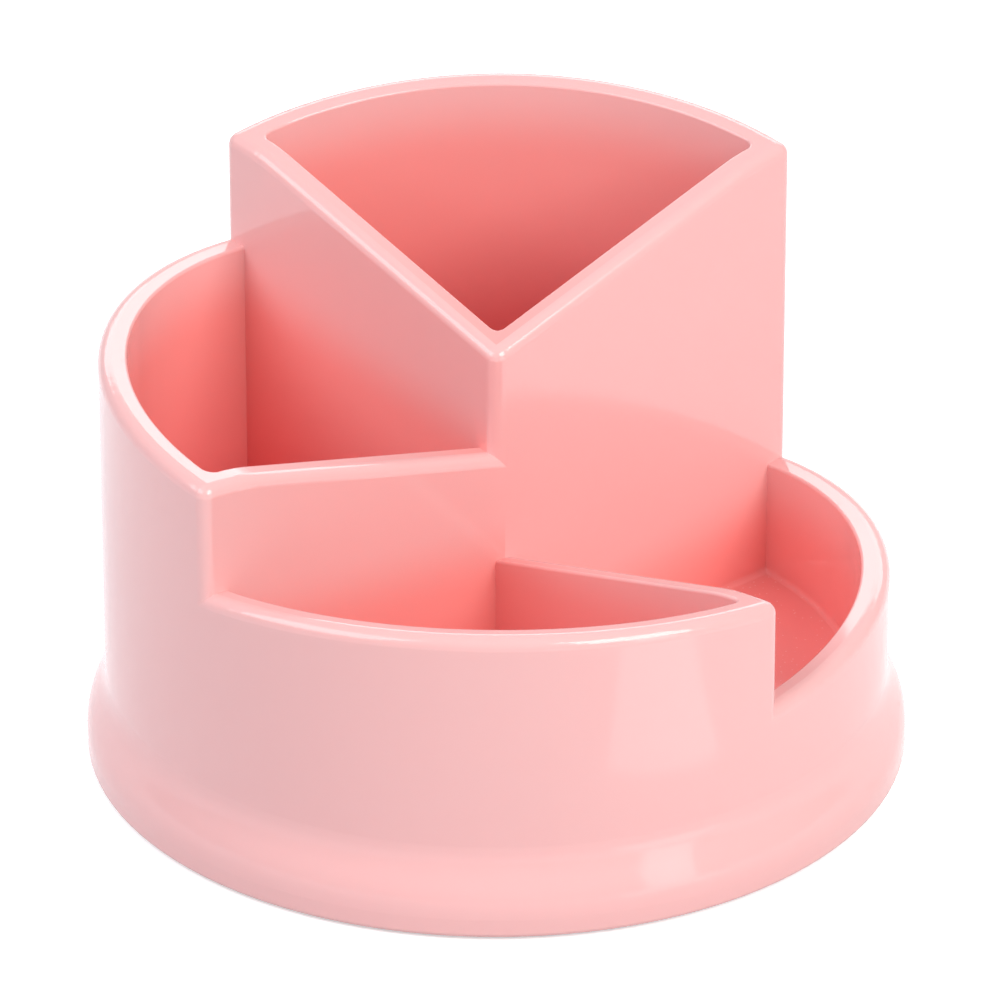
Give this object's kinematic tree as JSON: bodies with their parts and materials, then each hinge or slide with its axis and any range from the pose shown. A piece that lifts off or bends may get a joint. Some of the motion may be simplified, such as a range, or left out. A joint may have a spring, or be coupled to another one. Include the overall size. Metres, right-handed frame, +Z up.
{
  "type": "rotating desk organizer",
  "caption": "Round rotating desk organizer with a cross of dividers, open-top compartments of stepped heights and a flared skirt over a hidden turntable.",
  "frame": {"origin": "on the desk top, on the turning axis, which is the middle of the bottom of the bounding box", "axes": "+Z up along the turning axis; at rest the tallest compartment is at +Y (the back) and the lowest at +X (the right)"},
  "size_m": [0.14, 0.14, 0.0947],
  "materials": {
    "pink_gloss": "glossy moulded pink styrene plastic",
    "base_plastic": "pink plastic with a fine moulded texture",
    "bearing_steel": "stamped bright steel, lightly greased",
    "ball_steel": "polished bearing steel",
    "cage_nylon": "natural nylon",
    "bushing_acetal": "white acetal, smooth",
    "zinc_steel": "bright zinc plate",
    "foot_rubber": "dark rubber, satin"
  },
  "bodies": {
    "base": {"turntable_base": "base_plastic", "lower_race": "bearing_steel", "pivot_bushing": "bushing_acetal", "foot_1": "foot_rubber", "foot_2": "foot_rubber", "foot_3": "foot_rubber", "foot_4": "foot_rubber"},
    "caddy": {"caddy_body": "pink_gloss", "upper_race": "bearing_steel", "pivot_washer": "zinc_steel", "pivot_screw": "zinc_steel"},
    "cage": {"ball_cage": "cage_nylon", "bearing_ball_01": "ball_steel", "bearing_ball_02": "ball_steel", "bearing_ball_03": "ball_steel", "bearing_ball_04": "ball_steel", "bearing_ball_05": "ball_steel", "bearing_ball_06": "ball_steel", "bearing_ball_07": "ball_steel", "bearing_ball_08": "ball_steel", "bearing_ball_09": "ball_steel", "bearing_ball_10": "ball_steel", "bearing_ball_11": "ball_steel", "bearing_ball_12": "ball_steel", "bearing_ball_13": "ball_steel", "bearing_ball_14": "ball_steel", "bearing_ball_15": "ball_steel", "bearing_ball_16": "ball_steel"}
  },
  "joints": [
    {"name": "caddy_spin", "type": "hinge", "parent": "base", "child": "caddy", "pos_m": [0, 0, 0], "axis": [0, 0, 1], "continuous": true},
    {"name": "cage_spin", "type": "hinge", "parent": "base", "child": "cage", "pos_m": [0, 0, 0.00533], "axis": [0, 0, 1], "continuous": true}
  ],
  "couplings": [
    {"joint": "cage_spin", "follows": "caddy_spin", "ratio": 0.5}
  ]
}
